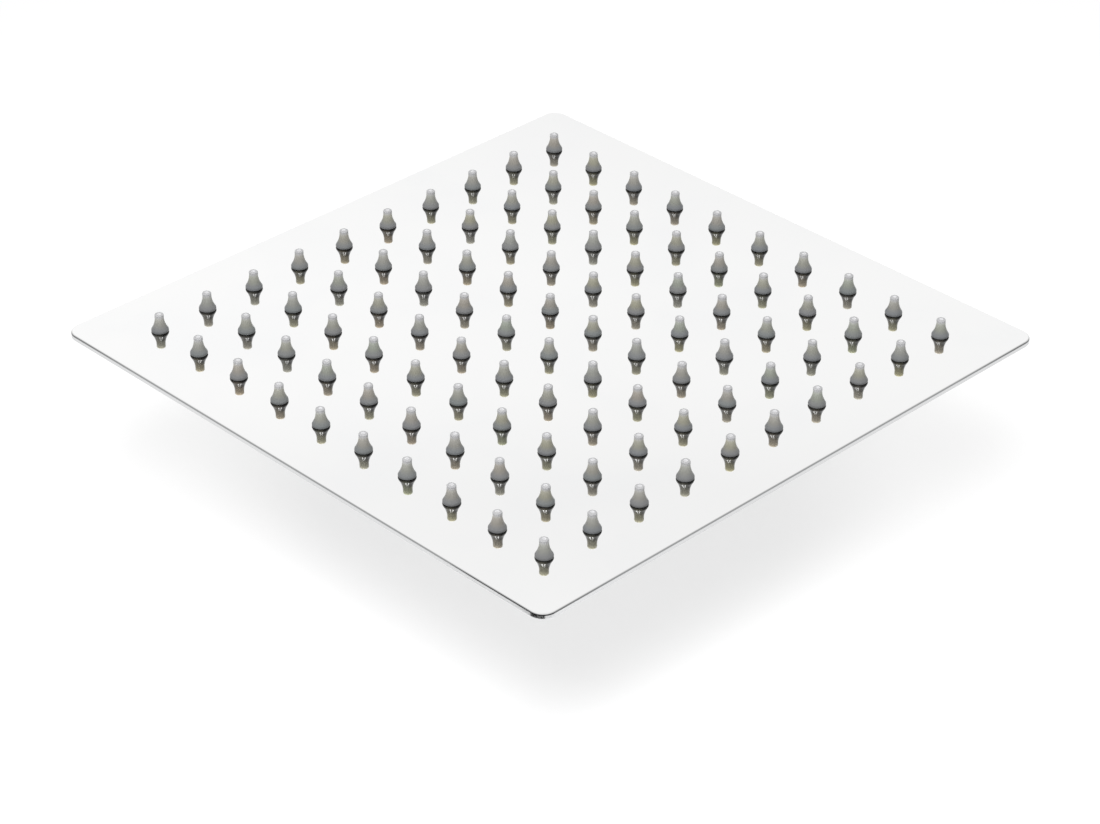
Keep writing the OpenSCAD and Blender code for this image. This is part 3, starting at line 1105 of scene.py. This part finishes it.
@dataclass
class BackPlate:
    """The stamped back sheet and the weld that holds the collar on its crown."""

    node: str = "back_plate"
    collar: str = "head_collar"
    bead_w: float = 0.9 * MM
    bead_h: float = 0.75 * MM
    bead_inset: float = 0.1 * MM
    bead_sink: float = 0.05 * MM
    bead_change: float = 0.07
    ripples: int = 96
    ripple_depth: float = 0.06 * MM
    steps_per_ripple: int = 6
    steps_across: int = 8
    seed: int = 5

    def sheet_finish(self, weld_r: float) -> HeatTintedFinish:
        """Gives the finish of the sheet.

        Args:
            weld_r: Radius of the weld round the Z axis.

        Returns:
            The finish.
        """
        return HeatTintedFinish(
            "satin_back_sheet",
            colour=(0.75, 0.755, 0.76),
            film_colour=(0.73, 0.735, 0.742),
            roughness=0.13,
            marks=Marks.BRUSHED,
            mark_spacing=0.3 * MM,
            mark_depth=0.0016 * MM,
            mark_roughness=0.12,
            film_roughness=0.03,
            film_patch=45 * MM,
            tint_r=weld_r,
            tint_share=0.35,
        )

    def weld(self, radius: float, seat_z: float) -> bpy.types.Object:
        """Builds the rippled weld bead in the corner between flange and crown.

        Args:
            radius: Radius of the collar's flange.
            seat_z: Height of the crown's outer face.

        Returns:
            The bead.
        """
        chance = random.Random(self.seed)
        steps = self.ripples * self.steps_per_ripple
        top, inner = seat_z + self.bead_sink, radius - self.bead_inset
        points: list[Point] = []
        for step in range(steps):
            angle = 2 * math.pi * step / steps
            wave = 0.5 + 0.5 * math.cos(self.ripples * angle)
            if step % self.steps_per_ripple == 0:
                grow = chance.uniform(1 - self.bead_change, 1 + self.bead_change)
            swell = grow * (1 - self.ripple_depth / self.bead_h * wave)
            for index in range(self.steps_across + 1):
                turn = math.radians(90 * index / self.steps_across)
                spot = inner + self.bead_w * swell * math.sin(turn)
                points.append(round_axis(spot, angle, top - self.bead_h * swell * math.cos(turn)))
            points.append(round_axis(inner, angle, top))
        faces = skin(steps, self.steps_across + 2, closed=True)
        finish = HeatTintedFinish(
            "weld_metal",
            colour=(0.62, 0.615, 0.6),
            film_colour=(0.5, 0.48, 0.47),
            roughness=0.2,
            marks=Marks.TURNED,
            mark_spacing=0.1 * MM,
            tint_r=radius,
            tint_share=0.3,
        )
        return new_piece("collar_weld", points, faces, finish.material(), sharp=60)

    def build(self) -> list[bpy.types.Object]:
        """Dresses the sheet and adds the weld."""
        flange_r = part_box(self.collar)[1].x
        crown_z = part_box(self.node)[0].z
        sheet = cad_node(self.node)
        dress(sheet, self.sheet_finish(flange_r).material())
        bead = self.weld(flange_r, crown_z)
        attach(bead, "head")
        return [sheet, bead]


@dataclass
class BallJoint:
    """The collar, the cap and what the ball turns between."""

    edges: tuple[tuple[str, float], ...] = (("retaining_cap", 0.25 * MM), ("head_collar", 0.15 * MM))

    def finishes(self) -> dict[str, Union[MetalFinish, MouldedFinish]]:
        """Gives the finish of each CAD node in the joint."""
        chrome = MetalFinish(
            "cap_chrome",
            colour=(0.83, 0.845, 0.86),
            film_colour=(0.76, 0.775, 0.79),
            roughness=0.06,
            marks=Marks.POLISHED,
            mark_spacing=0.3 * MM,
            mark_depth=0.0001 * MM,
        )
        turned = MetalFinish(
            "turned_collar",
            colour=(0.7, 0.7, 0.69),
            film_colour=(0.62, 0.62, 0.61),
            roughness=0.2,
            marks=Marks.TURNED,
            mark_spacing=0.12 * MM,
            mark_depth=0.002 * MM,
            mark_roughness=0.12,
        )
        rubber = MouldedFinish(
            "seal_black", colour=(0.022, 0.022, 0.023), shade=(0.035, 0.035, 0.036), roughness=0.5
        )
        ring = MouldedFinish(
            "ring_acetal",
            colour=(0.78, 0.76, 0.7),
            shade=(0.7, 0.68, 0.62),
            roughness=0.35,
            ior=1.48,
            grain_depth=0.002 * MM,
        )
        return {"retaining_cap": chrome, "head_collar": turned, "ball_seal": rubber, "slip_ring": ring}

    def build(self) -> list[bpy.types.Object]:
        """Dresses the joint's nodes and rounds the turned edges."""
        pieces = []
        for node, finish in self.finishes().items():
            piece = cad_node(node)
            dress(piece, finish.material())
            pieces.append(piece)
        for node, width in self.edges:
            round_edges(cad_node(node), width)
        return pieces


@dataclass
class Inlet:
    """The ball stem with its threaded socket, and what lies in the socket."""

    node: str = "ball_stem"
    major_r: float = 10.4775 * MM
    thread_depth: float = 1.162 * MM
    thread_pitch: float = 1.814 * MM
    thread_start: float = 0.9 * MM
    thread_end: float = 8.7 * MM
    steps_per_turn: int = 96
    fade_turns: float = 0.35
    edge: float = 0.2 * MM
    flank_angle: float = 27.5
    crest_round: float = 0.12 * MM
    root_sink: float = 0.06 * MM

    def stem_finish(self) -> PlatedFinish:
        """Gives the stem's chrome with its bare bore."""
        return PlatedFinish(
            "stem_chrome",
            colour=(0.83, 0.845, 0.86),
            film_colour=(0.77, 0.785, 0.8),
            roughness=0.06,
            marks=Marks.TURNED,
            mark_spacing=0.15 * MM,
            mark_depth=0.0003 * MM,
        )

    def ridge_section(self) -> list[Pair]:
        """Gives the section of the ridge, as depth from the wall and place along the axis."""
        slope = math.tan(math.radians(self.flank_angle))
        half = self.thread_pitch / 2
        crest = half - self.thread_depth * slope
        cut = self.crest_round
        upper = [
            (self.thread_depth, crest - cut),
            (self.thread_depth - cut, crest + cut * slope),
            (0.0, half),
            (-self.root_sink, half),
        ]
        return [(depth, -along) for depth, along in reversed(upper)] + upper

    def thread(self) -> bpy.types.Object:
        """Builds the helical ridge of the right-hand pipe thread."""
        section = self.ridge_section()
        low = self.thread_start + self.thread_pitch / 2
        high = self.thread_end - self.thread_pitch / 2
        turns = (high - low) / self.thread_pitch
        steps = round(turns * self.steps_per_turn)
        points: list[Point] = []
        for step in range(steps + 1):
            turn = turns * step / steps
            fade = min(1.0, turn / self.fade_turns, (turns - turn) / self.fade_turns)
            angle = 2 * math.pi * turn
            for depth, along in section:
                radius = self.major_r - (depth * fade if depth > 0 else depth)
                points.append(round_axis(radius, angle, low + turn * self.thread_pitch + along))
        count = len(section)
        faces = [list(range(count)), [steps * count + index for index in reversed(range(count))]]
        faces += skin(steps + 1, count, closed=False)
        finish = MetalFinish(
            "thread_brass",
            colour=(0.78, 0.6, 0.33),
            film_colour=(0.7, 0.52, 0.27),
            roughness=0.22,
            marks=Marks.TURNED,
            mark_spacing=0.08 * MM,
        )
        return new_piece("inlet_thread_ridge", points, faces, finish.material(), sharp=40)

    def build(self) -> list[bpy.types.Object]:
        """Dresses the socket's nodes and adds the thread."""
        finishes: dict[str, Union[MetalFinish, MouldedFinish]] = {
            self.node: self.stem_finish(),
            "inlet_washer": MouldedFinish(
                "washer_black", colour=(0.025, 0.025, 0.026), shade=(0.04, 0.04, 0.041), roughness=0.55
            ),
            "flow_regulator": MouldedFinish(
                "regulator_green", colour=(0.3, 0.62, 0.4), shade=(0.22, 0.52, 0.33), roughness=0.35
            ),
            "filter_screen": MetalFinish(
                "screen_steel",
                colour=(0.72, 0.72, 0.71),
                film_colour=(0.6, 0.6, 0.59),
                roughness=0.22,
                marks=Marks.POLISHED,
            ),
        }
        pieces = []
        for node, finish in finishes.items():
            piece = cad_node(node)
            dress(piece, finish.material())
            pieces.append(piece)
        round_edges(cad_node(self.node), self.edge)
        thread = self.thread()
        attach(thread, "inlet")
        return [*pieces, thread]


@dataclass
class Studio:
    """The pale floor, the soft lamps, the white surroundings and the camera."""

    face_z: float
    lens: float = 110.36
    sensor: float = 36.0
    camera_from_centre: Point = (0.6024, -0.58735, 0.50693)
    heading: float = 135.718
    pitch_down: float = 32.41
    ambient: float = 0.5
    side_bands: tuple[Pair, ...] = ((0.0, 1.8), (0.5, 0.6), (1.0, 1.3))
    strip_watts: float = 1.6
    strip_size: Pair = (0.55, 0.1)
    strip_places: Pair = (-0.2, 0.06)
    strip_h: float = 1.1
    strip_back: float = 0.07
    key_watts: float = 18.0
    key_size: float = 0.65
    key_distance: float = 1.25
    key_rise: float = 60.0
    key_turn: float = 13.0
    screen_bands: tuple[Pair, ...] = (
        (0.44, 0.95),
        (0.5, 1.0),
        (0.53, 0.99),
        (0.555, 0.94),
        (0.575, 0.945),
        (0.6, 0.98),
        (0.7, 0.97),
        (1.0, 0.78),
    )
    screen_fade: tuple[float, float, float, float] = (-0.16, 0.1, 1.0, 0.955)
    wall_shade: float = 0.35
    wall_fade: Pair = (0.35, 0.65)
    back_wall_fade: Pair = (-0.5, -0.25)
    back_wall_top: Pair = (0.4, 0.7)
    floor_r: float = 3.0
    floor_colour: float = 0.95
    floor_lift: float = 0.67
    floor_fade: Pair = (0.2, 0.4)
    side_lift: float = 0.83
    side_fade: Pair = (0.06, 0.115)
    mirrored_floor: Pair = (0.87, 0.3)
    mirrored_fade: Pair = (0.5, 1.6)
    # Shade of the painted shadow that mirrors see on the floor under the head.
    mirrored_shade: float = 0.5
    shade_fade: Pair = (0.01, 0.13)
    card_shade: float = 0.003
    card_r: float = 64 * MM
    card_below: float = 4 * MM
    card_tail: float = 22 * MM
    card_reach: float = 90 * MM
    card_turn: tuple[Pair, ...] = (
        (70, 12.8),
        (50, 12.3),
        (30, 11.8),
        (14, 11.2),
        (10, 0.5),
        (-20, 0.5),
        (-40, 0.5),
        (-60, 0.5),
        (-87, 0.5),
    )
    card_end: tuple[Pair, ...] = ((0.08, 0.5), (0.12, 11.4), (0.5, 11.9), (1.0, 12.7))
    corner_r: float = 4.5 * MM

    def ahead(self) -> Vector:
        """Gives the camera's direction over the floor."""
        turn = math.radians(self.heading)
        return Vector((math.cos(turn), math.sin(turn), 0.0))

    def aside(self) -> Vector:
        """Gives the direction to the camera's right."""
        return self.ahead().cross(Vector((0.0, 0.0, 1.0)))

    def camera(self) -> bpy.types.Object:
        """Places the camera where the photograph was taken from."""
        data = bpy.data.cameras.new("camera")
        data.lens = self.lens
        data.sensor_width = self.sensor
        data.clip_start, data.clip_end = 0.05, 20.0
        made = bpy.data.objects.new("camera", data)
        bpy.context.scene.collection.objects.link(made)
        down = math.radians(self.pitch_down)
        look = self.ahead() * math.cos(down) - Vector((0.0, 0.0, math.sin(down)))
        made.location = Vector(self.camera_from_centre) + Vector((0.0, 0.0, self.face_z))
        made.rotation_mode = "QUATERNION"
        made.rotation_quaternion = look.to_track_quat("-Z", "Y")
        bpy.context.scene.camera = made
        return made

    def world(self) -> bpy.types.World:
        """Builds the surroundings: white where they are seen or mirrored, with two grey side walls."""
        world = bpy.data.worlds.new("studio")
        bpy.context.scene.world = world
        world.use_nodes = True
        graph = Graph(world.node_tree)
        path = graph.node("ShaderNodeLightPath")
        way = graph.node("ShaderNodeTexCoord").outputs["Generated"]
        across = graph.vector("DOT_PRODUCT", way, tuple(self.aside())).outputs["Value"]
        along = graph.vector("DOT_PRODUCT", way, tuple(self.ahead())).outputs["Value"]
        rise = graph.parts(way).outputs["Z"]
        near, far = self.wall_fade
        right = graph.span(across, near, far, 0.0, self.wall_shade)
        left = graph.span(across, -far, -near, self.wall_shade, 0.0)
        behind = graph.span(along, *self.back_wall_fade, self.wall_shade, 0.0)
        room = graph.math("MULTIPLY", behind, graph.span(rise, *self.back_wall_top, 1.0, 0.0))
        walls = graph.math("MAXIMUM", graph.math("ADD", right, left), room)
        screen = graph.span(across, *self.screen_fade)
        lit = graph.math("MULTIPLY", screen, graph.shades(rise, self.screen_bands))
        mirrored = graph.math("MULTIPLY", lit, graph.math("SUBTRACT", 1.0, walls))
        seen = graph.math("MAXIMUM", path.outputs["Is Camera Ray"], path.outputs["Is Transmission Ray"])
        sides = graph.shades(graph.math("MULTIPLY_ADD", across, 0.5, 0.5), self.side_bands)
        ambient = graph.math("MULTIPLY", sides, self.ambient)
        level = graph.choose(path.outputs["Is Glossy Ray"], ambient, mirrored)
        background = graph.node("ShaderNodeBackground")
        graph.feed(background.inputs["Color"], graph.choose(seen, level, 1.0))
        output = graph.node("ShaderNodeOutputWorld")
        graph.feed(output.inputs["Surface"], background.outputs[0])
        return world

    def lamp(self, name: str, place: Vector, watts: float, size: Pair) -> bpy.types.Object:
        """Hangs one soft box that faces the head.

        Args:
            name: Name of the lamp.
            place: Its place from the middle of the face.
            watts: Its power.
            size: Its length along the camera's direction and its width.

        Returns:
            The lamp.
        """
        data = bpy.data.lights.new(name, "AREA")
        data.shape = "RECTANGLE"
        data.size, data.size_y = size
        data.energy = watts
        made = bpy.data.objects.new(name, data)
        bpy.context.scene.collection.objects.link(made)
        made.location = place + Vector((0.0, 0.0, self.face_z))
        made.visible_camera = False
        return made

    def lamps(self) -> list[bpy.types.Object]:
        """Hangs two narrow strips overhead and a broad key light over the camera's left shoulder."""
        made = []
        for side in self.strip_places:
            place = self.aside() * side - self.ahead() * self.strip_back
            place += Vector((0.0, 0.0, self.strip_h))
            strip = self.lamp("strip", place, self.strip_watts, self.strip_size)
            strip.rotation_euler = (0.0, 0.0, math.radians(self.heading))
            made.append(strip)
        self.keep_off_plate(made)
        rise, turn = math.radians(self.key_rise), math.radians(self.key_turn)
        flat = -self.ahead() * math.cos(turn) - self.aside() * math.sin(turn)
        place = (flat * math.cos(rise) + Vector((0.0, 0.0, math.sin(rise)))) * self.key_distance
        key = self.lamp("key", place, self.key_watts, (self.key_size, self.key_size))
        key.rotation_mode = "QUATERNION"
        key.rotation_quaternion = (-place).to_track_quat("-Z", "Y")
        key.visible_glossy = False
        return [*made, key]

    def keep_off_plate(self, lamps: Sequence[bpy.types.Object]) -> None:
        """Keeps lamps off the polished sheet, which would mirror them as glaring patches from above.

        Args:
            lamps: The lamps that the sheet leaves out.
        """
        spared = bpy.data.collections.new("kept_off_plate")
        spared.objects.link(cad_node("spray_plate"))
        spared.collection_objects[0].light_linking.link_state = "EXCLUDE"
        for lamp in lamps:
            lamp.light_linking.receiver_collection = spared

    def floor_material(self) -> bpy.types.Material:
        """Builds the white floor, lifted for the camera so that the shadow on it stays pale, with a painted
        shadow under the head that only mirrors see.
        """
        material = bpy.data.materials.new("floor_white")
        material.use_nodes = True
        graph = Graph(material.node_tree)
        place = graph.place()
        radius = graph.radius(place)
        across = graph.vector("DOT_PRODUCT", place, tuple(self.aside())).outputs["Value"]
        away = graph.math("ABSOLUTE", across)
        sideways = graph.span(away, *self.side_fade, self.floor_lift, self.side_lift)
        lift = graph.math("MAXIMUM", graph.span(radius, *self.floor_fade, self.floor_lift, 1.0), sideways)
        path = graph.node("ShaderNodeLightPath")
        seen = graph.math("MAXIMUM", path.outputs["Is Camera Ray"], path.outputs["Is Glossy Ray"])
        seen = graph.math("MAXIMUM", seen, path.outputs["Is Transmission Ray"])
        # Painted shadow for mirrors: the floor's glow is darker close under the head.
        under = graph.span(radius, *self.shade_fade, self.mirrored_shade, 1.0)
        far = graph.span(radius, *self.mirrored_fade, *self.mirrored_floor)
        mirrored = graph.math("MULTIPLY", under, far)
        glow = graph.node("ShaderNodeEmission")
        shown = graph.blend(path.outputs["Is Glossy Ray"], grey(1.0), mirrored)
        graph.feed(glow.inputs["Color"], shown)
        lifted = graph.math("MULTIPLY", seen, lift)
        top = graph.mix_shaders(lifted, graph.matt(self.floor_colour), glow.outputs[0])
        below = graph.node("ShaderNodeNewGeometry").outputs["Backfacing"]
        clear = graph.node("ShaderNodeBsdfTransparent").outputs[0]
        output = graph.node("ShaderNodeOutputMaterial")
        graph.feed(output.inputs["Surface"], graph.mix_shaders(below, top, clear))
        return material

    def floor(self) -> bpy.types.Object:
        """Lays a round floor under the head."""
        rim = [(math.cos(math.radians(a)), math.sin(math.radians(a))) for a in range(0, 360, 5)]
        points = [(self.floor_r * x, self.floor_r * y, 0.0) for x, y in rim]
        piece = new_piece("floor", points, [list(range(len(points)))], self.floor_material())
        return piece

    def card_material(self) -> bpy.types.Material:
        """Builds the black of the card, which only what stands close to it mirrors."""
        material = bpy.data.materials.new("card_black")
        material.use_nodes = True
        graph = Graph(material.node_tree)
        distance = graph.node("ShaderNodeLightPath").outputs["Ray Length"]
        distant = graph.math("GREATER_THAN", distance, self.card_reach)
        clear = graph.node("ShaderNodeBsdfTransparent").outputs[0]
        output = graph.node("ShaderNodeOutputMaterial")
        shown = graph.mix_shaders(distant, graph.matt(self.card_shade), clear)
        graph.feed(output.inputs["Surface"], shown)
        return material

    def corner_card(self) -> bpy.types.Object:
        """Stands a black card round the near corner, low enough that only the plate's edge mirrors it.

        Its lower edge rises towards both ends, so that the dark line it makes gets thinner there, and
        anything further away than the plate's edge doesn't mirror it.
        """
        low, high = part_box("spray_plate")
        corner = Vector((high.x - self.corner_r, low.y + self.corner_r, 0.0))
        towards = -self.ahead()
        top = self.face_z - self.card_below
        spots: list[tuple[Vector, float]] = []
        for degrees, foot in self.card_turn:
            angle = math.radians(degrees)
            outward = towards * math.cos(angle) + self.aside() * math.sin(angle)
            spots.append((corner + self.card_r * outward, foot * MM))
        end = spots[-1][0]
        for share, foot in self.card_end:
            spots.append((end - Vector((self.card_tail * share, 0.0, 0.0)), foot * MM))
        points = [(spot.x, spot.y, z) for spot, foot in spots for z in (foot, top)]
        faces = [[2 * i, 2 * i + 2, 2 * i + 3, 2 * i + 1] for i in range(len(spots) - 1)]
        card = new_piece("corner_card", points, faces, self.card_material())
        for kind in ("visible_camera", "visible_diffuse", "visible_shadow", "visible_transmission"):
            setattr(card, kind, False)
        return card

    def build(self) -> list[bpy.types.Object]:
        """Sets up the whole studio."""
        self.world()
        bpy.context.scene.view_settings.view_transform = "Standard"
        return [self.camera(), *self.lamps(), self.floor(), self.corner_card()]


def main() -> None:
    """Builds each sub-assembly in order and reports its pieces."""
    logging.basicConfig(level=logging.INFO, format="%(message)s")
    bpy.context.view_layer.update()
    plate = SprayPlate()
    face_z = plate.face_z()
    for assembly in (plate, NozzleGrid(face_z), BackPlate(), BallJoint(), Inlet(), Studio(face_z)):
        for piece in assembly.build():
            size = len(piece.data.polygons) if piece.type == "MESH" else 0
            log.info("%s: %s, %d faces", type(assembly).__name__, piece.name, size)


if __name__ == "__main__":
    main()
